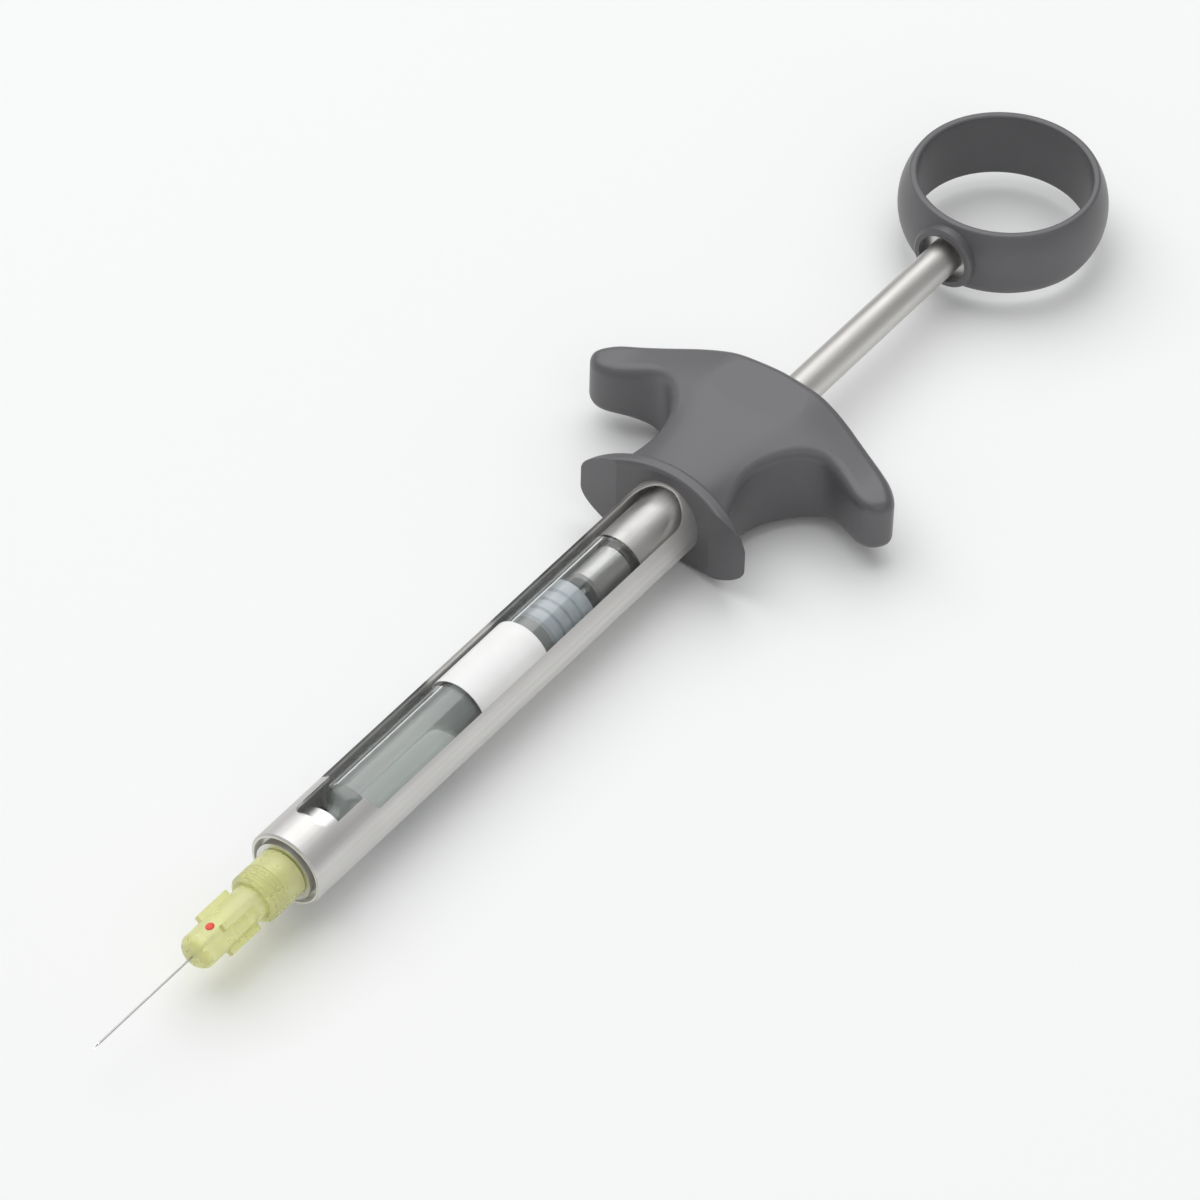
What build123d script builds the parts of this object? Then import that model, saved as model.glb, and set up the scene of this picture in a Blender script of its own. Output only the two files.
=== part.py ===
from build123d import *
import os

# Dental aspirating syringe with a cartridge and a needle fitted, in millimetres.
# X runs along the syringe, with +X towards the needle, and Z is up: the loading window
# faces up. The origin is the centre of the barrel's open front end.

os.makedirs("parts", exist_ok=True)

# Clearances
running_gap = 0.05
slide_gap = 0.03
seat_gap = 0.02

# Barrel
barrel_radius = 5.4
barrel_wall = 0.5
barrel_edge = 0.2
window_front = 4.7
window_narrow_half = 2.8
window_narrow_length = 7.6
window_half = 4.5
window_step_round = 1.0
window_front_round = 1.7
window_end_flat = 0.2
under_slot_front = 14.0
under_slot_length = 20.2
under_slot_half = 3.0

# Needle adapter in the barrel's front end
nose_recess = 1.0
adapter_length = 4.4
shoulder_radius = 4.2
shoulder_height = 1.4
boss_radius = 2.4
boss_length = 5.0
boss_chamfer = 0.3
adapter_bore_radius = 1.0
cap_seat_depth = 0.5

# Cartridge
cartridge_length = 63.5
glass_radius = 4.33
glass_wall = 0.9
glass_neck_radius = 2.9
glass_bead_radius = 3.55
glass_bead_slope = 0.4
neck_bore_radius = 1.7
shoulder_start = 4.2
shoulder_end = 7.4
shoulder_inner_shift = 0.55
rim_round = 0.3
cap_radius = 3.85
cap_wall = 0.22
cap_length = 3.3
cap_hole_radius = 1.6
crimp_length = 0.33
crimp_gap = 0.25
diaphragm_thickness = 1.6
label_start = 20.4
label_length = 13.4
label_thickness = 0.08

# Stopper, where it stands in the cartridge, measured from the glass's rear rim
stopper_depth = 10.0
stopper_length = 8.2
stopper_rib_count = 4
stopper_rib_depth = 0.35
stopper_rib_share = 0.6
stopper_rib_slope = 0.2
stopper_nose = 0.6
harpoon_cut_radius = 0.95
harpoon_cut_depth = 5.2

# Plunger
piston_gap = 2.4
piston_radius = 2.7
piston_length = 7.0
piston_chamfer = 0.4
spigot_radius = 1.5
spigot_length = 4.0
harpoon_reach = 6.5
harpoon_radius = 0.55
harpoon_barb_radius = 0.85
harpoon_barb_length = 1.1
harpoon_tip_length = 1.5
harpoon_root_radius = 0.9
harpoon_root_length = 2.5
rod_radius = 2.435
rod_show = 38.9
rod_tail_radius = 1.7
rod_tail_length = 0.8

# Thumb ring
ring_radius = 14.5
ring_bore_radius = 12.0
ring_height = 10.4
ring_rim_wall = 1.0
ring_rim_round = 0.45
collar_length = 0.5
collar_radius = 4.7
collar_recess = 1.5
collar_foot_radius = 5.1
collar_foot_depth = 3.4
collar_step = 0.35
insert_radius = 3.7
insert_length = 0.8

# Sleeve behind the cartridge, with its stop ring, spring and washer
sleeve_radius = 4.0
sleeve_bore_radius = 3.05
sleeve_length = 16.4
sleeve_flange_length = 1.8
sleeve_play = 1.8
stop_ring_length = 1.6
spring_space = 10.9
spring_wire_radius = 0.3
spring_mean_radius = 4.15
spring_turns = 6
washer_length = 0.6

# Rod guide, its seal and the gland nut
guide_length = 3.7
seal_wire_radius = 0.5
seal_groove_length = 1.1
gland_length = 5.0
gland_radius = 4.2
gland_head_radius = 4.9
gland_head_length = 0.9
gland_slot_width = 1.0
gland_slot_depth = 0.5

# Finger grip
flange_half_width = 13.9
flange_half_height = 7.35
flange_reach = 20.8
flange_thickness = 2.0
flange_sweep = 3.2
flange_edge = 0.6
flange_web = 3.0
neck_radius = 7.2
neck_middle = 5.6
crescent_depth = 13.4
wing_half_span = 24.2
wing_sweep = -1.2
wing_hollow = 3.9
wing_tip_depth = 5.2
wing_back = 9.8
wing_back_bulge = 0.9
crescent_round = 1.6
grip_flat = 7.35

# Half height of the grip, at shares of the wing's span from the middle out to past the tip,
# over the neck and over the crescent, and how far it has grown from one to the other at
# shares of the grip's length from the flange to the rear
crown_shares = (0.0, 0.2, 0.36, 0.58, 0.83, 1.1)
neck_heights = (6.7, 6.2, 4.7, 4.3, 3.9, 3.2)
crescent_heights = (7.4, 7.4, 6.9, 5.5, 4.3, 3.4)
crown_stations = (-0.1, 0.25, 0.4, 0.55, 0.7, 0.85, 1.1)
crown_growth = (0.0, 0.0, 0.35, 0.75, 1.0, 1.0, 1.0)

# Needle hub and needle
hub_rear = 0.5
skirt_radius = 3.5
skirt_front = 6.6
skirt_round = 0.5
skirt_groove_count = 5
skirt_groove_first = 3.7
skirt_groove_pitch = 0.5
skirt_groove_depth = 0.12
hub_core_radius = 2.45
fin_rear = 8.3
fin_front = 13.8
fin_radius = 3.24
fin_thickness = 0.9
fin_round = 0.2
fin_root_depth = 0.5
fin_count = 4
fin_angle = 60.0
hub_front = 16.5
hub_nose = 18.0
hub_nose_radius = 1.1
hub_dome_bulge = 0.3
hub_cavity_gap = 0.4
needle_radius = 0.15
needle_bore_radius = 0.08
needle_tip = 36.5
needle_rear = 8.6
needle_bevel = 15.0

# Places along the axis that follow from the sizes above, from the front to the rear
bore_radius = barrel_radius - barrel_wall
shoulder_front = shoulder_height - nose_recess
adapter_rear = -(nose_recess + adapter_length)
cap_front = adapter_rear + cap_seat_depth
cap_rear = cap_front - cap_length
diaphragm_front = cap_front - cap_wall
glass_front = diaphragm_front - diaphragm_thickness
glass_rear = cap_front - cartridge_length
glass_bore_radius = glass_radius - glass_wall
stopper_rear = glass_rear + stopper_depth
stopper_front = stopper_rear + stopper_length
piston_front = stopper_rear - piston_gap
piston_rear = piston_front - piston_length
sleeve_front = glass_rear - seat_gap
sleeve_rear = sleeve_front - sleeve_length
stop_ring_rear = sleeve_rear + sleeve_flange_length + sleeve_play
washer_front = sleeve_rear - spring_space
guide_front = washer_front - washer_length
barrel_rear = guide_front - guide_length
crescent_rear = barrel_rear - gland_length
crescent_front = crescent_rear + crescent_depth
flange_front = barrel_rear + flange_reach
flange_rear = flange_front - flange_thickness
window_rear = flange_front + window_end_flat / 2
rod_end = crescent_rear - rod_show
collar_front = rod_end + collar_recess - seat_gap
ring_centre = collar_front - collar_length - ring_radius


# A solid of revolution about the syringe's axis, from (x, radius) points
def turned(*points):
    return revolve(make_face(Polyline(*points, close=True)), Axis.X)


# A plain tube or, with no bore, a plain bar from x0 forward to x1
def tube(x0, x1, outer, inner=0.0):
    return turned((x0, inner), (x1, inner), (x1, outer), (x0, outer))


# The loading window: a wide milled slot with a narrower front part, open at the top
def window_cut():
    step = window_front + window_narrow_length
    overlap = window_step_round
    wide = Pos((window_rear - step) / 2, 0) * Rectangle(-window_rear - step, 2 * window_half)
    wide = fillet(wide.vertices().group_by(Axis.X)[0], window_half - window_end_flat)
    wide = fillet(wide.vertices().group_by(Axis.X)[-1], window_step_round)
    length = window_narrow_length + overlap
    narrow = Pos(-window_front - length / 2, 0) * Rectangle(length, 2 * window_narrow_half)
    corner = min(window_front_round, window_narrow_half - window_end_flat)
    narrow = fillet(narrow.vertices().group_by(Axis.X)[-1], corner)
    return extrude(wide + narrow, barrel_radius + 1)


# The slot underneath, which lets a finger push the cartridge out
def under_slot_cut():
    centre = -under_slot_front - under_slot_length / 2
    plan = SlotOverall(under_slot_length, 2 * under_slot_half)
    return extrude(Pos(centre, 0, 0) * plan, -barrel_radius - 1)


def make_barrel():
    body = turned(
        (barrel_rear, bore_radius),
        (0, bore_radius),
        (0, barrel_radius - barrel_edge),
        (-barrel_edge, barrel_radius),
        (barrel_rear, barrel_radius),
    )
    body -= window_cut()
    body -= under_slot_cut()
    return body


def make_needle_adapter():
    seat_radius = cap_radius + running_gap
    boss_front = shoulder_front + boss_length
    return turned(
        (cap_front, adapter_bore_radius),
        (boss_front, adapter_bore_radius),
        (boss_front, boss_radius - boss_chamfer),
        (boss_front - boss_chamfer, boss_radius),
        (shoulder_front, boss_radius),
        (shoulder_front, shoulder_radius),
        (-nose_recess, shoulder_radius),
        (-nose_recess, bore_radius),
        (adapter_rear, bore_radius),
        (adapter_rear, seat_radius),
        (cap_front, seat_radius),
    )


# Drawn glass: bead under the cap, neck, shoulder and straight body open at the rear
def make_cartridge_glass():
    bead_rear = cap_rear + crimp_length + seat_gap
    body_front = cap_front - shoulder_end
    neck_rear = cap_front - shoulder_start
    outline = Polyline(
        (glass_front, neck_bore_radius),
        (glass_front, glass_bead_radius),
        (bead_rear, glass_bead_radius),
        (bead_rear - glass_bead_slope, glass_neck_radius),
        (neck_rear, glass_neck_radius),
    )
    shoulder = Spline(
        (neck_rear, glass_neck_radius),
        (body_front, glass_radius),
        tangents=((-1, 0.2), (-1, 0)),
    )
    rear = Polyline(
        (body_front, glass_radius),
        (glass_rear + rim_round, glass_radius),
        (glass_rear, glass_radius - rim_round),
        (glass_rear, glass_bore_radius + rim_round),
        (glass_rear + rim_round, glass_bore_radius),
        (body_front - shoulder_inner_shift, glass_bore_radius),
    )
    inner = Spline(
        (body_front - shoulder_inner_shift, glass_bore_radius),
        (neck_rear - shoulder_inner_shift, neck_bore_radius),
        tangents=((1, 0), (1, -0.2)),
    )
    close = Line(inner @ 1, outline @ 0)
    return revolve(make_face(outline + shoulder + rear + inner + close), Axis.X)


# Pressed aluminium cup with a centre hole, crimped in under the glass bead
def make_cartridge_cap():
    inner = cap_radius - cap_wall
    lip = glass_neck_radius + crimp_gap
    return turned(
        (cap_front, cap_hole_radius),
        (cap_front, cap_radius - cap_wall),
        (cap_front - cap_wall, cap_radius),
        (cap_rear + cap_wall, cap_radius),
        (cap_rear, lip + cap_wall),
        (cap_rear, lip),
        (cap_rear + crimp_length, inner),
        (cap_front - cap_wall, inner),
        (cap_front - cap_wall, cap_hole_radius),
    )


def make_cartridge_diaphragm():
    return tube(glass_front, diaphragm_front, glass_bead_radius, needle_radius)


def make_cartridge_label():
    rear = glass_rear + label_start
    return tube(rear, rear + label_length, glass_radius + label_thickness, glass_radius)


# Ribbed rubber stopper with the cut that the harpoon makes from behind
def make_stopper():
    outer = glass_bore_radius - slide_gap
    groove = outer - stopper_rib_depth
    pitch = (stopper_length - stopper_nose) / stopper_rib_count
    rib = pitch * stopper_rib_share
    cut_end = stopper_rear + harpoon_cut_depth
    points = [(cut_end, 0), (stopper_front, 0), (stopper_front, outer - stopper_nose)]
    for i in range(stopper_rib_count):
        front = stopper_front - stopper_nose - i * pitch
        points += [(front, outer), (front - rib, outer)]
        if i < stopper_rib_count - 1:
            points += [(front - rib - stopper_rib_slope, groove), (front - pitch + stopper_rib_slope, groove)]
    points += [(stopper_rear, outer), (stopper_rear, harpoon_cut_radius), (cut_end, harpoon_cut_radius)]
    return turned(*points)


def make_piston_head():
    return turned(
        (piston_rear, spigot_radius),
        (piston_rear + spigot_length, spigot_radius),
        (piston_rear + spigot_length, 0),
        (piston_front - harpoon_root_length, 0),
        (piston_front - harpoon_root_length, harpoon_root_radius),
        (piston_front, harpoon_root_radius),
        (piston_front, piston_radius - piston_chamfer),
        (piston_front - piston_chamfer, piston_radius),
        (piston_rear + piston_chamfer, piston_radius),
        (piston_rear, piston_radius - piston_chamfer / 2),
    )


# Turned steel barb, screwed into the piston head, that bites into the stopper
def make_harpoon():
    tip = piston_front + harpoon_reach
    barb_rear = tip - harpoon_tip_length
    return turned(
        (piston_front - harpoon_root_length, 0),
        (tip, 0),
        (barb_rear, harpoon_barb_radius),
        (barb_rear, harpoon_radius),
        (barb_rear - harpoon_barb_length, harpoon_barb_radius),
        (barb_rear - harpoon_barb_length, harpoon_radius),
        (piston_front, harpoon_radius),
        (piston_front, harpoon_root_radius),
        (piston_front - harpoon_root_length, harpoon_root_radius),
    )


def make_rod():
    return turned(
        (rod_end - rod_tail_length, 0),
        (piston_rear + spigot_length, 0),
        (piston_rear + spigot_length, spigot_radius),
        (piston_rear, spigot_radius),
        (piston_rear, rod_radius),
        (rod_end, rod_radius),
        (rod_end, rod_tail_radius),
        (rod_end - rod_tail_length, rod_tail_radius),
    )


# Band with a bulged outer wall and a round hole
def ring_band():
    half = ring_height / 2
    rim = ring_bore_radius + ring_rim_wall
    section = (
        Line((ring_bore_radius, -half), (ring_bore_radius, half))
        + Line((ring_bore_radius, half), (rim, half))
        + ThreePointArc((rim, half), (ring_radius, 0), (rim, -half))
        + Line((rim, -half), (ring_bore_radius, -half))
    )
    band = revolve(Plane.XZ * make_face(section), Axis.Z)
    band = fillet(band.edges().filter_by(GeomType.CIRCLE), ring_rim_round)
    return Pos(ring_centre, 0, 0) * band


# Stepped collar that flares into the band, recessed where the rod enters
def ring_collar():
    foot = collar_front - collar_foot_depth
    lip = collar_front - collar_step
    profile = (
        Line((foot, 0), (collar_front, 0))
        + Line((collar_front, 0), (collar_front, collar_radius - collar_step))
        + Line((collar_front, collar_radius - collar_step), (lip, collar_radius))
        + Spline((lip, collar_radius), (foot, collar_foot_radius), tangents=((-1, 0), (-0.3, 1)))
        + Line((foot, collar_foot_radius), (foot, 0))
    )
    return revolve(make_face(profile), Axis.X)


def make_thumb_ring():
    hole = Pos(ring_centre, 0, 0) * Cylinder(ring_bore_radius, 2 * ring_height)
    recess_end = collar_front - collar_recess - insert_length
    ring = ring_band() + (ring_collar() - hole)
    return ring - tube(recess_end, collar_front + 1, insert_radius)


# Threaded steel insert at the bottom of the collar's recess, which takes the rod's tail
def make_ring_insert():
    front = collar_front - collar_recess
    return tube(front - insert_length, front, insert_radius, rod_tail_radius)


def make_sleeve():
    flange_radius = bore_radius - running_gap
    return turned(
        (sleeve_rear, sleeve_bore_radius),
        (sleeve_front, sleeve_bore_radius),
        (sleeve_front, sleeve_radius),
        (sleeve_rear + sleeve_flange_length, sleeve_radius),
        (sleeve_rear + sleeve_flange_length, flange_radius),
        (sleeve_rear, flange_radius),
    )


def make_stop_ring():
    return tube(stop_ring_rear, stop_ring_rear + stop_ring_length, bore_radius, sleeve_radius + running_gap)


# Coil spring between the sleeve's flange and the washer
def make_sleeve_spring():
    start = washer_front + spring_wire_radius + seat_gap
    height = sleeve_rear - seat_gap - spring_wire_radius - start
    path = Helix(pitch=height / spring_turns, height=height, radius=spring_mean_radius)
    section = Plane(path @ 0, z_dir=path % 0) * Circle(spring_wire_radius)
    coil = sweep(section, path, is_frenet=True)
    return Pos(start, 0, 0) * Rot(0, 90, 0) * coil


def make_spring_washer():
    return tube(guide_front, washer_front, bore_radius - running_gap, piston_radius + running_gap)


# Rod guide pressed into the tube's rear end, with the seal's groove at its back
def make_rod_guide():
    hole = rod_radius + running_gap
    groove = hole + 2 * seal_wire_radius
    groove_front = barrel_rear + seal_groove_length
    return turned(
        (guide_front, hole),
        (guide_front, bore_radius),
        (barrel_rear, bore_radius),
        (barrel_rear, groove),
        (groove_front, groove),
        (groove_front, hole),
    )


def make_rod_seal():
    centre = rod_radius + running_gap + seal_wire_radius
    place = barrel_rear + seal_groove_length / 2
    return revolve(Pos(place, centre) * Circle(seal_wire_radius), Axis.X)


# Gland nut sunk in the rear of the grip, with a slotted head that shows from behind
def make_gland_nut():
    hole = rod_radius + running_gap
    head_front = crescent_rear + gland_head_length
    nut = turned(
        (barrel_rear, hole),
        (barrel_rear, gland_radius),
        (head_front, gland_radius),
        (head_front, gland_head_radius),
        (crescent_rear, gland_head_radius),
        (crescent_rear, hole),
    )
    slot = Box(2 * gland_slot_depth, 4 * gland_head_radius, gland_slot_width)
    return nut - Pos(crescent_rear, 0, 0) * slot


# An oval across the axis
def oval(x, half_width, half_height):
    return Plane((x, 0, 0), x_dir=(0, 1, 0), z_dir=(1, 0, 0)) * Ellipse(half_width, half_height)


# Everything ahead of a face that is dished about an upright axis, swept forward at the lobes
def ahead_of_flange(depth):
    dish = (flange_half_width**2 - flange_sweep**2) / (2 * flange_sweep)
    return Pos(flange_front + dish, 0, 0) * Cylinder(dish + depth, 4 * flange_half_height)


def grip_flange():
    reach = 2 * (flange_thickness + flange_sweep)
    plate = extrude(oval(flange_front - reach / 2, flange_half_width, flange_half_height), reach)
    plate = (plate & ahead_of_flange(flange_thickness)) - ahead_of_flange(0)
    rims = [e for e in plate.edges() if e.length > flange_half_width]
    return fillet(rims, flange_edge)


# Half the plan of the neck and the crescent, one smooth line from inside the flange, along
# the neck and round the wing's tip to the middle of the back
def grip_plan():
    tip = wing_half_span
    tip_front = crescent_front + wing_sweep
    tip_rear = tip_front - wing_tip_depth
    mouth = flange_front + flange_sweep / 2
    side = Spline(
        (mouth, neck_radius + flange_web),
        (flange_rear - flange_web / 2, neck_radius + flange_web / 4),
        (crescent_front + neck_middle, neck_radius),
        (crescent_front, 1.2 * neck_radius),
        (crescent_front - wing_hollow, 0.56 * tip),
        (tip_front - 0.12 * wing_tip_depth, 0.945 * tip),
        ((tip_front + tip_rear) / 2, tip),
        (tip_rear + 0.08 * wing_tip_depth, 0.95 * tip),
        (crescent_front - wing_back, 0.66 * tip),
        (crescent_rear + wing_back_bulge, 0.33 * tip),
        (crescent_rear, 0),
        tangents=((-0.6, -1), (0, -1)),
        tangent_scalars=(0.5, 0.5),
    )
    ends = Line((mouth, 0), (mouth, neck_radius + flange_web)) + Line((crescent_rear, 0), (mouth, 0))
    return make_face(side + ends)


# Space above the grip, whose floor is the grip's upper skin
def grip_crown():
    length = flange_front - crescent_rear
    rows = []
    for station, growth in zip(crown_stations, crown_growth):
        heights = [low + growth * (high - low) for low, high in zip(neck_heights, crescent_heights)]
        side = [(share * wing_half_span, height) for share, height in zip(crown_shares, heights)]
        across = [(-y, z) for y, z in reversed(side[1:])] + side
        rows.append([(flange_front - station * length, y, z) for y, z in across])
    skin = Face.make_surface_from_array_of_points(rows)
    return extrude(skin, 2 * crescent_heights[0], dir=(0, 0, 1))


def make_grip():
    above = grip_crown()
    tall = 3 * crescent_heights[0]
    side = Pos(0, 0, -tall / 2) * extrude(grip_plan(), tall)
    side = side - above - mirror(above, Plane.XY) - ahead_of_flange(flange_thickness / 2)
    rims = [e for e in side.edges().filter_by(GeomType.BSPLINE) if e.center().X < flange_rear and e.center().Y > 1]
    side = fillet(rims, crescent_round)
    body = side + mirror(side, Plane.XZ)
    body += grip_flange()
    body &= Pos(crescent_rear, 0, 0) * Box(4 * crescent_depth, 4 * wing_half_span, 2 * grip_flat)
    body -= tube(barrel_rear, 0, barrel_radius)
    body -= tube(crescent_rear - 1, barrel_rear, gland_radius)
    body -= tube(crescent_rear - 1, crescent_rear + gland_head_length, gland_head_radius)
    return body


# One fin of the hub, rounded at its ends
def hub_fin(angle):
    root = hub_core_radius - fin_root_depth
    fin = Box(fin_front - fin_rear, fin_radius - root, fin_thickness)
    fin = fillet(fin.edges().filter_by(Axis.Z), fin_round)
    return Rot(angle, 0, 0) * Pos((fin_front + fin_rear) / 2, (fin_radius + root) / 2, 0) * fin


# Moulded hub: grooved skirt, four fins round a plain core, and a domed nose
def make_needle_hub():
    cavity = boss_radius + seat_gap
    cavity_end = shoulder_front + boss_length + hub_cavity_gap
    low = skirt_radius - skirt_groove_depth
    quarter = skirt_groove_pitch / 4
    skirt = [(hub_rear, cavity), (hub_rear, skirt_radius)]
    for i in range(skirt_groove_count):
        start = skirt_groove_first + i * skirt_groove_pitch
        skirt += [(start, skirt_radius), (start + quarter, low)]
        skirt += [(start + 2 * quarter, low), (start + 3 * quarter, skirt_radius)]
    skirt += [
        (skirt_front - skirt_round, skirt_radius),
        (skirt_front, skirt_radius - skirt_round),
        (skirt_front, hub_core_radius),
        (hub_front, hub_core_radius),
    ]
    middle = ((hub_front + hub_nose) / 2, (hub_core_radius + hub_nose_radius) / 2)
    dome = ThreePointArc(
        (hub_front, hub_core_radius),
        (middle[0] + hub_dome_bulge, middle[1] + hub_dome_bulge),
        (hub_nose, hub_nose_radius),
    )
    inner = Polyline(
        (hub_nose, hub_nose_radius),
        (hub_nose, needle_radius),
        (cavity_end, needle_radius),
        (cavity_end, cavity),
        (hub_rear, cavity),
    )
    hub = revolve(make_face(Polyline(*skirt) + dome + inner), Axis.X)
    for i in range(fin_count):
        hub += hub_fin(fin_angle + i * 360 / fin_count)
    return hub


# Thin tube, ground to a slant at both ends
def make_needle():
    body = tube(-needle_rear, needle_tip, needle_radius, needle_bore_radius)
    size = 20 * needle_radius
    cutter = Box(size, size, size / 2, align=(Align.CENTER, Align.CENTER, Align.MIN))
    front = Pos(needle_tip, 0, -needle_radius) * Rot(0, needle_bevel, 0) * cutter
    rear = Pos(-needle_rear, 0, -needle_radius) * Rot(0, -2 * needle_bevel, 0) * cutter
    return body - front - rear


nodes = {
    "barrel": make_barrel,
    "needle_adapter": make_needle_adapter,
    "grip": make_grip,
    "stop_ring": make_stop_ring,
    "sleeve": make_sleeve,
    "sleeve_spring": make_sleeve_spring,
    "spring_washer": make_spring_washer,
    "rod_guide": make_rod_guide,
    "rod_seal": make_rod_seal,
    "gland_nut": make_gland_nut,
    "cartridge_glass": make_cartridge_glass,
    "cartridge_cap": make_cartridge_cap,
    "cartridge_diaphragm": make_cartridge_diaphragm,
    "cartridge_label": make_cartridge_label,
    "stopper": make_stopper,
    "piston_head": make_piston_head,
    "harpoon": make_harpoon,
    "rod": make_rod,
    "thumb_ring": make_thumb_ring,
    "ring_insert": make_ring_insert,
    "needle_hub": make_needle_hub,
    "needle": make_needle,
}

for name, make in nodes.items():
    piece = make()
    export_step(piece, f"parts/{name}.step")
    print(name, len(piece.solids()), round(piece.volume, 2))
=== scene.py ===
import math

import bpy
from mathutils import Matrix, Vector


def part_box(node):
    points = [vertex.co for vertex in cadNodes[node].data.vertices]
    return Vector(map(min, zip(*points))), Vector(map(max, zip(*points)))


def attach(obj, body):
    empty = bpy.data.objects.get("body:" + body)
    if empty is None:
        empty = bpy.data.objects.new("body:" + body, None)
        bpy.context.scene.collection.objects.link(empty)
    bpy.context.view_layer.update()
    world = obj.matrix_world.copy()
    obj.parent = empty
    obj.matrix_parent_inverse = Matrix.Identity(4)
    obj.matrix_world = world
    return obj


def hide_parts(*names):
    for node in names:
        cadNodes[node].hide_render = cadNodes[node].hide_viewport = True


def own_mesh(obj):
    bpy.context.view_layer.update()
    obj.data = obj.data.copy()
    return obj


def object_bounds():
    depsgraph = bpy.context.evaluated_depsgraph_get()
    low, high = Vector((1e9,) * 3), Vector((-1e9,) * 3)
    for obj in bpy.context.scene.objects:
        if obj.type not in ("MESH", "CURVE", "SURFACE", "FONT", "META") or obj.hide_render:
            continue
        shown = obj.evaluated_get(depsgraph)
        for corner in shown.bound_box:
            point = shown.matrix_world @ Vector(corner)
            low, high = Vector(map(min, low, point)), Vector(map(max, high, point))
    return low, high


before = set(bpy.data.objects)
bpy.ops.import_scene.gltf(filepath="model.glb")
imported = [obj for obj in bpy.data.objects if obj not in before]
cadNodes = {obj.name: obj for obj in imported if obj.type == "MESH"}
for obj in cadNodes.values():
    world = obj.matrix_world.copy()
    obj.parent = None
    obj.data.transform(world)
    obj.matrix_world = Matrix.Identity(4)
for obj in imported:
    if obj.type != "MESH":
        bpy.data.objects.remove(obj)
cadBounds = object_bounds()
print("frame loaded:", len(cadNodes), "nodes")

# places of the two colours and the result among a colour mix's sockets
colourLow, colourHigh, colourMixed = 6, 7, 2


# small helpers for shader trees

def addNode(tree, kind, **values):
    node = tree.nodes.new(kind)
    for key, value in values.items():
        setattr(node, key, value)
    return node


def setInputs(node, values):
    for key, value in values.items():
        node.inputs[key].default_value = value


def newGroup(name, inputs, outputs):
    group = bpy.data.node_groups.new(name, "ShaderNodeTree")
    for label, default in inputs.items():
        socket = group.interface.new_socket(label, in_out="INPUT", socket_type="NodeSocketFloat")
        socket.default_value = default
    for label in outputs:
        group.interface.new_socket(label, in_out="OUTPUT", socket_type="NodeSocketFloat")
    return group, addNode(group, "NodeGroupInput"), addNode(group, "NodeGroupOutput")


def useGroup(tree, group, **values):
    node = addNode(tree, "ShaderNodeGroup", node_tree=group)
    setInputs(node, values)
    return node


def newMaterial(name):
    material = bpy.data.materials.new(name)
    material.use_nodes = True
    tree = material.node_tree
    return material, tree, tree.nodes["Principled BSDF"]


def mixColours(tree, mask, low, high):
    mix = addNode(tree, "ShaderNodeMix", data_type="RGBA")
    mix.inputs[colourLow].default_value = (*low, 1)
    mix.inputs[colourHigh].default_value = (*high, 1)
    tree.links.new(mask, mix.inputs["Factor"])
    return mix.outputs[colourMixed]


def mapMask(tree, mask, low, high):
    spread = addNode(tree, "ShaderNodeMapRange")
    setInputs(spread, {"To Min": low, "To Max": high})
    tree.links.new(mask, spread.inputs["Value"])
    return spread.outputs["Result"]


# noise whose middle values are spread out to run from 0 to 1
def addNoise(group, place, output, values):
    noise = addNode(group, "ShaderNodeTexNoise")
    setInputs(noise, {"Detail": values["detail"], "Roughness": values["roughness"]})
    spread = addNode(group, "ShaderNodeMapRange")
    setInputs(spread, {"From Min": values["low"], "From Max": 1 - values["low"]})
    group.links.new(place, noise.inputs["Vector"])
    group.links.new(noise.outputs["Fac"], spread.inputs["Value"])
    group.links.new(spread.outputs["Result"], output)
    return noise


# shared effect: streaks drawn out along the syringe's axis
streakNoise = {
    "Fine": {"scale": 1.0, "detail": 4, "roughness": 0.6, "low": 0.3},
    "Broad": {"scale": 0.22, "detail": 2, "roughness": 0.6, "low": 0.3},
}


def makeStreaks():
    group, ins, outs = newGroup("drawnStreaks", {"Along": 40, "Across": 2500}, ["Fine", "Broad"])
    place = addNode(group, "ShaderNodeTexCoord")
    scale = addNode(group, "ShaderNodeCombineXYZ")
    stretch = addNode(group, "ShaderNodeVectorMath", operation="MULTIPLY")
    group.links.new(ins.outputs["Along"], scale.inputs["X"])
    group.links.new(ins.outputs["Across"], scale.inputs["Y"])
    group.links.new(ins.outputs["Across"], scale.inputs["Z"])
    group.links.new(place.outputs["Object"], stretch.inputs[0])
    group.links.new(scale.outputs["Vector"], stretch.inputs[1])
    for label, values in streakNoise.items():
        noise = addNoise(group, stretch.outputs["Vector"], outs.inputs[label], values)
        setInputs(noise, {"Scale": values["scale"]})
    return group


# shared effect: soft blotches, as handling and wiping leave them, and a fine grain
surfaceNoise = {
    "Blotches": {"size": "Blotch", "detail": 3, "roughness": 0.55, "low": 0.32},
    "Grains": {"size": "Grain", "detail": 2, "roughness": 0.55, "low": 0.32},
}


def makeSurface():
    group, ins, outs = newGroup("handledSurface", {"Blotch": 120, "Grain": 4000}, ["Blotches", "Grains"])
    place = addNode(group, "ShaderNodeTexCoord")
    for label, values in surfaceNoise.items():
        noise = addNoise(group, place.outputs["Object"], outs.inputs[label], values)
        group.links.new(ins.outputs[values["size"]], noise.inputs["Scale"])
    return group


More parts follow.
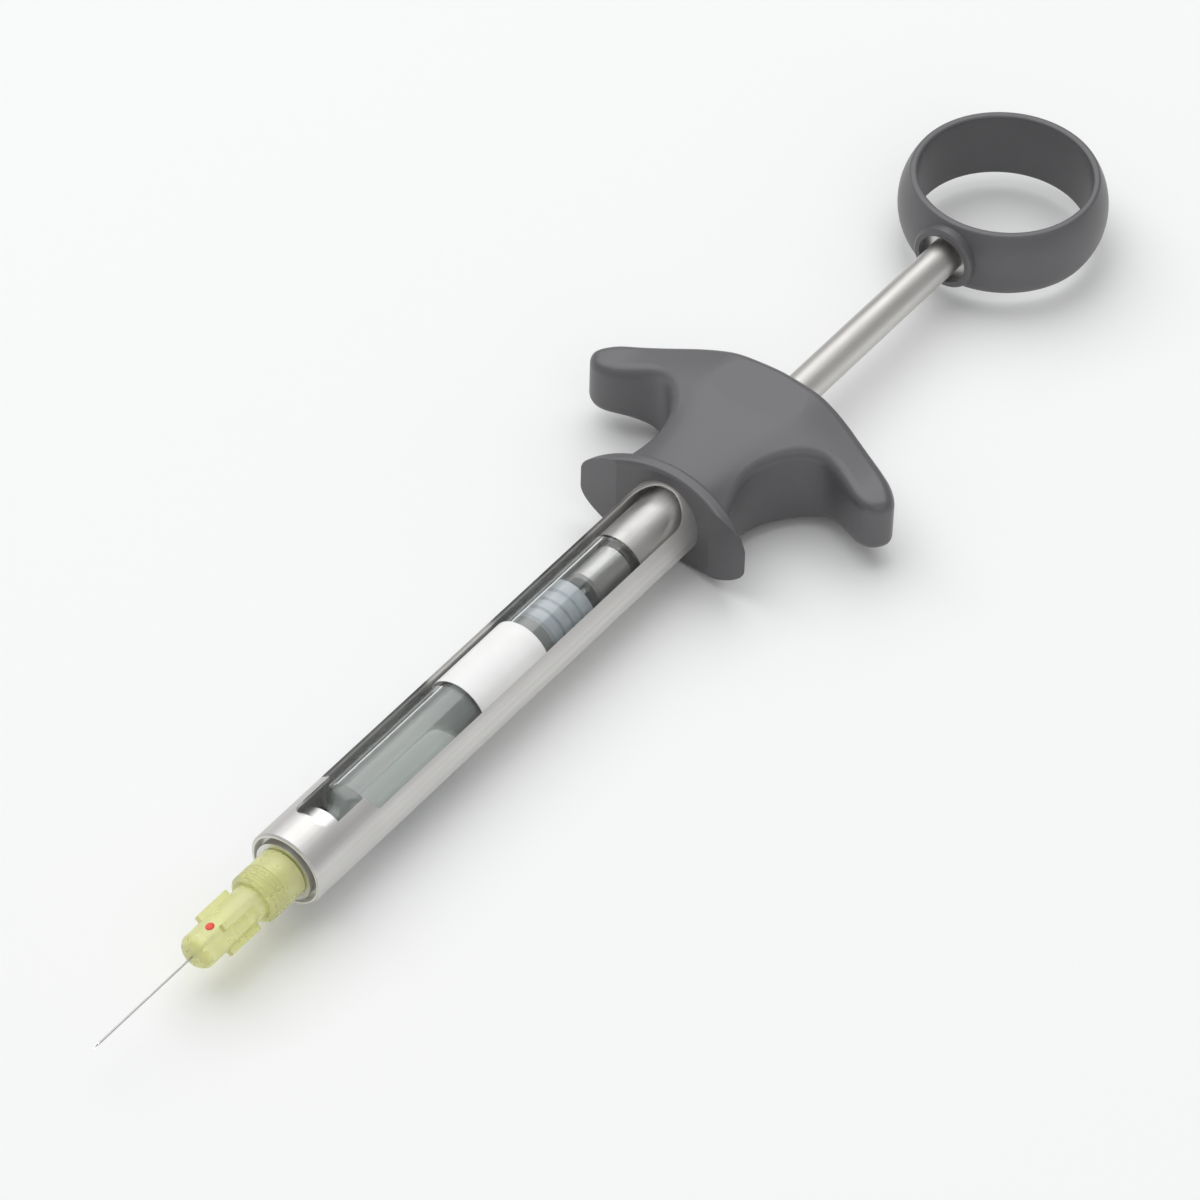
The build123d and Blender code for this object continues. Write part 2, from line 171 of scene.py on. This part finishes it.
# shared effect: a mask that is 1 in a tube's bore, by the distance from the syringe's axis
def makeBore():
    group, ins, outs = newGroup("tubeBore", {"Radius": 0.005}, ["Inside"])
    place = addNode(group, "ShaderNodeTexCoord")
    flat = addNode(group, "ShaderNodeVectorMath", operation="MULTIPLY")
    flat.inputs[1].default_value = (0, 1, 1)
    reach = addNode(group, "ShaderNodeVectorMath", operation="LENGTH")
    inside = addNode(group, "ShaderNodeMath", operation="LESS_THAN")
    group.links.new(place.outputs["Object"], flat.inputs[0])
    group.links.new(flat.outputs["Vector"], reach.inputs[0])
    group.links.new(reach.outputs["Value"], inside.inputs[0])
    group.links.new(ins.outputs["Radius"], inside.inputs[1])
    group.links.new(inside.outputs["Value"], outs.inputs["Inside"])
    return group


streaks = makeStreaks()
surface = makeSurface()
bore = makeBore()


# joins colour, roughness and bump to the shader, and sets what is the same all over
def finishShader(tree, shader, shade, dulling, height, look):
    bump = addNode(tree, "ShaderNodeBump")
    setInputs(bump, {"Strength": look["bump"], "Distance": look["depth"]})
    tree.links.new(height, bump.inputs["Height"])
    tree.links.new(shade, shader.inputs["Base Color"])
    tree.links.new(mapMask(tree, dulling, look["smooth"], look["rough"]), shader.inputs["Roughness"])
    tree.links.new(bump.outputs["Normal"], shader.inputs["Normal"])
    setInputs(shader, look["even"])


# steel, aluminium or glass with streaks along it, dulled in blotches where the look has them
def drawnMaterial(name, look):
    material, tree, shader = newMaterial(name)
    lines = useGroup(tree, streaks, Along=look["along"], Across=look["across"])
    dulling = lines.outputs["Broad"]
    if "blotch" in look:
        dulling = useGroup(tree, surface, Blotch=look["blotch"]).outputs["Blotches"]
    shade = mixColours(tree, lines.outputs["Broad"], look["dark"], look["light"])
    finishShader(tree, shader, shade, dulling, lines.outputs["Fine"], look)
    return material


# plastic, rubber, film, paint or liquid, with soft blotches and a fine grain
def mouldedMaterial(name, look):
    material, tree, shader = newMaterial(name)
    touch = useGroup(tree, surface, Blotch=look["blotch"], Grain=look["grain"])
    shade = mixColours(tree, touch.outputs["Blotches"], look["dark"], look["light"])
    finishShader(tree, shader, shade, touch.outputs[look["dulling"]], touch.outputs["Grains"], look)
    return material


# the tube's bore is left as drawn and duller than its brushed outside; it is also painted paler, which
# is painted light that brightens its shaded inside wall
def dullAndPaintLightInBore(material, look):
    tree = material.node_tree
    shader = tree.nodes["Principled BSDF"]
    outside = shader.inputs["Base Color"].links[0].from_socket
    tube = useGroup(tree, bore, Radius=look["radius"])
    shine = mapMask(tree, tube.outputs["Inside"], 1.0, look["metallic"])
    # the bore's colour is painted light: a pale tone standing in for light that does not reach the
    # inside wall
    shade = mixColours(tree, tube.outputs["Inside"], look["colour"], look["colour"])
    tree.links.new(outside, shade.node.inputs[colourLow])
    tree.links.new(shade, shader.inputs["Base Color"])
    tree.links.new(shine, shader.inputs["Metallic"])


# metals: "along" and "across" are the streaks' scales, "depth" is the bump's height in metres
metal = {"Metallic": 1.0}
metalLooks = {
    "barrelSteel": {
        "dark": (0.64, 0.63, 0.615), "light": (0.75, 0.74, 0.725), "along": 30, "across": 3000,
        "blotch": 90, "smooth": 0.46, "rough": 0.56, "bump": 0.14, "depth": 0.00002, "even": metal},
    "rodSteel": {
        "dark": (0.52, 0.505, 0.49), "light": (0.78, 0.77, 0.745), "along": 22, "across": 1500,
        "blotch": 120, "smooth": 0.38, "rough": 0.5, "bump": 0.2, "depth": 0.00002, "even": metal},
    "innerSteel": {
        "dark": (0.46, 0.45, 0.44), "light": (0.62, 0.61, 0.60), "along": 60, "across": 1800,
        "blotch": 260, "smooth": 0.36, "rough": 0.5, "bump": 0.2, "depth": 0.00002, "even": metal},
    "turnedSteel": {
        "dark": (0.64, 0.63, 0.61), "light": (0.78, 0.77, 0.75), "along": 2500, "across": 200,
        "blotch": 200, "smooth": 0.26, "rough": 0.4, "bump": 0.1, "depth": 0.00002, "even": metal},
    "needleSteel": {
        "dark": (0.5, 0.5, 0.5), "light": (0.62, 0.62, 0.62), "along": 80, "across": 9000,
        "blotch": 200, "smooth": 0.2, "rough": 0.3, "bump": 0.05, "depth": 0.00002, "even": metal},
    "capAluminium": {
        "dark": (0.72, 0.72, 0.72), "light": (0.83, 0.83, 0.83), "along": 900, "across": 900,
        "blotch": 600, "smooth": 0.25, "rough": 0.4, "bump": 0.15, "depth": 0.00002, "even": metal},
}
# the bore's pale colour is painted light on its shaded inside wall; its lower metallic is its duller
# drawn finish
barrelBorePaintedLight = {"radius": 0.0051, "colour": (0.93, 0.925, 0.91), "metallic": 0.2}

materials = {name: drawnMaterial(name, look) for name, look in metalLooks.items()}
dullAndPaintLightInBore(materials["barrelSteel"], barrelBorePaintedLight)
print("metals ready")

# drawn glass of the cartridge, a little streaky
glassLook = {
    "dark": (0.93, 0.96, 0.95), "light": (0.98, 0.99, 0.985), "along": 30, "across": 900,
    "smooth": 0.01, "rough": 0.05, "bump": 0.04, "depth": 0.00002,
    "even": {"Transmission Weight": 1.0, "IOR": 1.49}}

# plastics, rubber, film, paint and solution: "dulling" names the mask that roughness follows
mouldedLooks = {
    "gripPlastic": {
        "dark": (0.088, 0.085, 0.091), "light": (0.114, 0.110, 0.117), "blotch": 60, "grain": 5200,
        "dulling": "Blotches", "smooth": 0.34, "rough": 0.46, "bump": 0.16, "depth": 0.00003,
        "even": {"Specular IOR Level": 0.8}},
    "hubPlastic": {
        "dark": (0.96, 0.97, 0.45), "light": (0.98, 0.985, 0.56), "blotch": 220, "grain": 6000,
        "dulling": "Blotches", "smooth": 0.22, "rough": 0.34, "bump": 0.04, "depth": 0.00002,
        "even": {"Transmission Weight": 0.5, "IOR": 1.45}},
    "stopperRubber": {
        "dark": (0.60, 0.65, 0.70), "light": (0.70, 0.75, 0.80), "blotch": 700, "grain": 5000,
        "dulling": "Grains", "smooth": 0.4, "rough": 0.6, "bump": 0.15, "depth": 0.00002, "even": {}},
    "sealRubber": {
        "dark": (0.12, 0.05, 0.04), "light": (0.2, 0.09, 0.07), "blotch": 500, "grain": 5000,
        "dulling": "Grains", "smooth": 0.5, "rough": 0.7, "bump": 0.15, "depth": 0.00002, "even": {}},
    "labelFilm": {
        "dark": (0.90, 0.90, 0.895), "light": (0.94, 0.94, 0.935), "blotch": 250, "grain": 3000,
        "dulling": "Grains", "smooth": 0.35, "rough": 0.5, "bump": 0.08, "depth": 0.00002, "even": {}},
    "redPaint": {
        "dark": (0.78, 0.05, 0.03), "light": (0.88, 0.09, 0.05), "blotch": 1500, "grain": 6000,
        "dulling": "Grains", "smooth": 0.3, "rough": 0.45, "bump": 0.1, "depth": 0.00002, "even": {}},
    # the solution is a real fill, but its pale, milky colour and partial transmission are painted light:
    # they brighten the cartridge the way the lit steel behind it would
    "solution": {
        "dark": (0.90, 0.95, 0.92), "light": (0.94, 0.97, 0.95), "blotch": 150, "grain": 2000,
        "dulling": "Grains", "smooth": 0.04, "rough": 0.1, "bump": 0.02, "depth": 0.00002,
        "even": {"Transmission Weight": 0.65, "IOR": 1.2}},
}

materials["clearGlass"] = drawnMaterial("clearGlass", glassLook)
for name, look in mouldedLooks.items():
    materials[name] = mouldedMaterial(name, look)
print("glass, plastics, rubber, film, paint and solution ready")

finishes = {
    "barrel": "barrelSteel",
    "needle_adapter": "turnedSteel",
    "grip": "gripPlastic",
    "stop_ring": "turnedSteel",
    "sleeve": "innerSteel",
    "sleeve_spring": "innerSteel",
    "spring_washer": "turnedSteel",
    "rod_guide": "turnedSteel",
    "rod_seal": "sealRubber",
    "gland_nut": "turnedSteel",
    "cartridge_glass": "clearGlass",
    "cartridge_cap": "capAluminium",
    "cartridge_diaphragm": "sealRubber",
    "cartridge_label": "labelFilm",
    "stopper": "stopperRubber",
    "piston_head": "innerSteel",
    "harpoon": "turnedSteel",
    "rod": "rodSteel",
    "thumb_ring": "gripPlastic",
    "ring_insert": "turnedSteel",
    "needle_hub": "hubPlastic",
    "needle": "needleSteel",
}
for name, finish in finishes.items():
    piece = cadNodes[name]
    if not piece.material_slots:
        piece.data.materials.append(materials[finish])
    for slot in piece.material_slots:
        slot.material = materials[finish]
print("CAD nodes dressed:", len(finishes))

# a face looks along an axis when its normal has more than this share along it
facing = 0.9


# applies a new primitive's place and opens it with only the chosen faces selected
def openFaces(piece, chosen):
    bpy.ops.object.transform_apply(location=True, rotation=True, scale=True)
    bpy.ops.object.mode_set(mode="EDIT")
    bpy.ops.mesh.select_mode(type="FACE")
    bpy.ops.mesh.select_all(action="DESELECT")
    bpy.ops.object.mode_set(mode="OBJECT")
    for face in piece.data.polygons:
        face.select = chosen(face)
    bpy.ops.object.mode_set(mode="EDIT")


def closeFaces(smoothAngle):
    bpy.ops.object.mode_set(mode="OBJECT")
    bpy.ops.object.shade_smooth_by_angle(angle=smoothAngle)


# red dot moulded on top of the hub, where the bevel's side is marked: a low pad with a crown,
# which is two steps inward and upward
dot = {"along": 0.0145, "length": 0.0013, "width": 0.001, "foot": 0.00215, "edge": 0.00247,
       "crown": ((0.00010, 0.00005), (0.00018, 0.00003)), "sides": 48, "smoothAngle": 1.2}


def makeRedDot(values):
    tall = values["edge"] - values["foot"]
    bpy.ops.object.select_all(action="DESELECT")
    bpy.ops.mesh.primitive_cylinder_add(vertices=values["sides"], radius=0.5, depth=1,
                                        location=(values["along"], 0, values["foot"] + tall / 2),
                                        scale=(values["length"], values["width"], tall))
    piece = bpy.context.object
    piece.name = "bevel_dot"
    openFaces(piece, lambda face: face.normal.z > facing)
    for inward, upward in values["crown"]:
        bpy.ops.mesh.inset(thickness=inward, depth=upward)
    closeFaces(values["smoothAngle"])
    piece.data.materials.append(materials["redPaint"])
    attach(piece, "root")


makeRedDot(dot)
print("red dot placed")


# the solution in the cartridge: a round column ahead of the stopper, and what fills the neck
fill = {"radius": 0.00338, "neck": 0.00160, "shoulder": 0.00618, "taper": 0.0023, "gap": 0.00004,
        "stroke": 0.036, "leastShare": 0.01, "edge": 0.00012, "edgeSteps": 3, "sides": 64,
        "smoothAngle": 0.7}
lengthwise = (0, math.pi / 2, 0)


def makeColumn(values, rear, front):
    bpy.ops.object.select_all(action="DESELECT")
    bpy.ops.mesh.primitive_cylinder_add(vertices=values["sides"], radius=values["radius"],
                                        depth=front - rear, rotation=lengthwise,
                                        location=((front + rear) / 2, 0, 0))
    piece = bpy.context.object
    piece.name = "solution_column"
    openFaces(piece, lambda face: abs(face.normal.x) > facing)
    bpy.ops.mesh.bevel(offset=values["edge"], segments=values["edgeSteps"])
    closeFaces(values["smoothAngle"])
    return piece


# the shoulder's cone, with its narrow end drawn forward through the neck
def makeNeck(values, rear, bend, front):
    bpy.ops.object.select_all(action="DESELECT")
    bpy.ops.mesh.primitive_cone_add(vertices=values["sides"], radius1=values["radius"],
                                    radius2=values["neck"], depth=bend - rear,
                                    rotation=lengthwise, location=((bend + rear) / 2, 0, 0))
    piece = bpy.context.object
    piece.name = "solution_neck"
    openFaces(piece, lambda face: face.normal.x > facing)
    bpy.ops.mesh.extrude_region_move(TRANSFORM_OT_translate={"value": (front - bend, 0, 0)})
    bpy.ops.mesh.bevel(offset=values["edge"], segments=values["edgeSteps"])
    closeFaces(values["smoothAngle"])
    return piece


def makeSolution(values):
    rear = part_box("stopper")[1].x + values["gap"]
    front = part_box("cartridge_glass")[1].x - values["gap"]
    shoulder = front - values["shoulder"]
    column = makeColumn(values, rear, shoulder)
    neck = makeNeck(values, shoulder + values["gap"], shoulder + values["taper"], front)
    for piece in (column, neck):
        piece.data.materials.append(materials["solution"])
        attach(piece, "root")
    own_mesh(column)


makeSolution(fill)
print("solution filled in")


def makeSpring():
    source = cadNodes["sleeve_spring"]
    piece = bpy.data.objects.new("sleeve_spring_coils", source.data.copy())
    bpy.context.scene.collection.objects.link(piece)
    piece.matrix_world = source.matrix_world
    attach(piece, "root")
    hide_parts("sleeve_spring")
    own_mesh(piece)


makeSpring()


# floor, light and camera; "shade" is how dark the floor's blotches are against its colour
floorLook = {"colour": (0.94, 0.947, 0.947), "shade": 0.997, "size": 12.0, "blotch": 8, "grain": 800,
             "even": {"Roughness": 0.9, "Specular IOR Level": 0.1}}
keyLight = {"place": (-0.45, -0.75, 2.0), "size": 3.0, "watts": 44}
fillLight = {"place": (0.9, 1.4, 1.5), "size": 1.6, "watts": 5}
sky = {"Color": (1, 1, 1, 1), "Strength": 0.4}
shot = {"place": (0.3944, 0.3278, 0.5568), "azimuth": 35.52, "elevation": 44.84, "roll": 1.59,
        "focalPixels": 6161, "framePixels": 1200, "sensor": 36.0, "near": 0.01, "far": 50}


def makeFloor(look):
    material, tree, shader = newMaterial("paleFloor")
    touch = useGroup(tree, surface, Blotch=look["blotch"], Grain=look["grain"])
    dark = tuple(channel * look["shade"] for channel in look["colour"])
    shade = mixColours(tree, touch.outputs["Blotches"], dark, look["colour"])
    tree.links.new(shade, shader.inputs["Base Color"])
    setInputs(shader, look["even"])
    bpy.ops.object.select_all(action="DESELECT")
    bpy.ops.mesh.primitive_plane_add(size=look["size"], location=(0, 0, cadBounds[0].z))
    floor = bpy.context.object
    floor.name = "floor"
    floor.data.materials.append(material)


def makeLamp(name, values, target):
    data = bpy.data.lights.new(name, "AREA")
    data.size = values["size"]
    data.energy = values["watts"]
    lamp = bpy.data.objects.new(name, data)
    lamp.location = values["place"]
    lamp.rotation_euler = (target - lamp.location).to_track_quat("-Z", "Y").to_euler()
    bpy.context.scene.collection.objects.link(lamp)


def makeSky(values):
    world = bpy.data.worlds.new("studio")
    bpy.context.scene.world = world
    world.use_nodes = True
    setInputs(world.node_tree.nodes["Background"], values)


# a camera that looks from its place along an azimuth and an elevation, then rolls
def makeCamera(values):
    turn, tilt, roll = (math.radians(values[key]) for key in ("azimuth", "elevation", "roll"))
    back = Vector((math.cos(tilt) * math.cos(turn), math.cos(tilt) * math.sin(turn), math.sin(tilt)))
    right = (-back).cross(Vector((0, 0, 1))).normalized()
    up = right.cross(-back)
    across = right * math.cos(roll) + up * math.sin(roll)
    upright = up * math.cos(roll) - right * math.sin(roll)
    data = bpy.data.cameras.new("camera")
    data.sensor_width = values["sensor"]
    data.lens = values["focalPixels"] / values["framePixels"] * values["sensor"]
    data.clip_start, data.clip_end = values["near"], values["far"]
    camera = bpy.data.objects.new("camera", data)
    camera.matrix_world = Matrix((across, upright, back)).transposed().to_4x4()
    camera.location = values["place"]
    bpy.context.scene.collection.objects.link(camera)
    bpy.context.scene.camera = camera


middle = (cadBounds[0] + cadBounds[1]) / 2
makeFloor(floorLook)
makeLamp("keyLamp", keyLight, middle)
makeLamp("fillLamp", fillLight, middle)
makeSky(sky)
makeCamera(shot)
bpy.context.scene.view_settings.view_transform = "Standard"
print("floor, lamps, sky and camera ready")
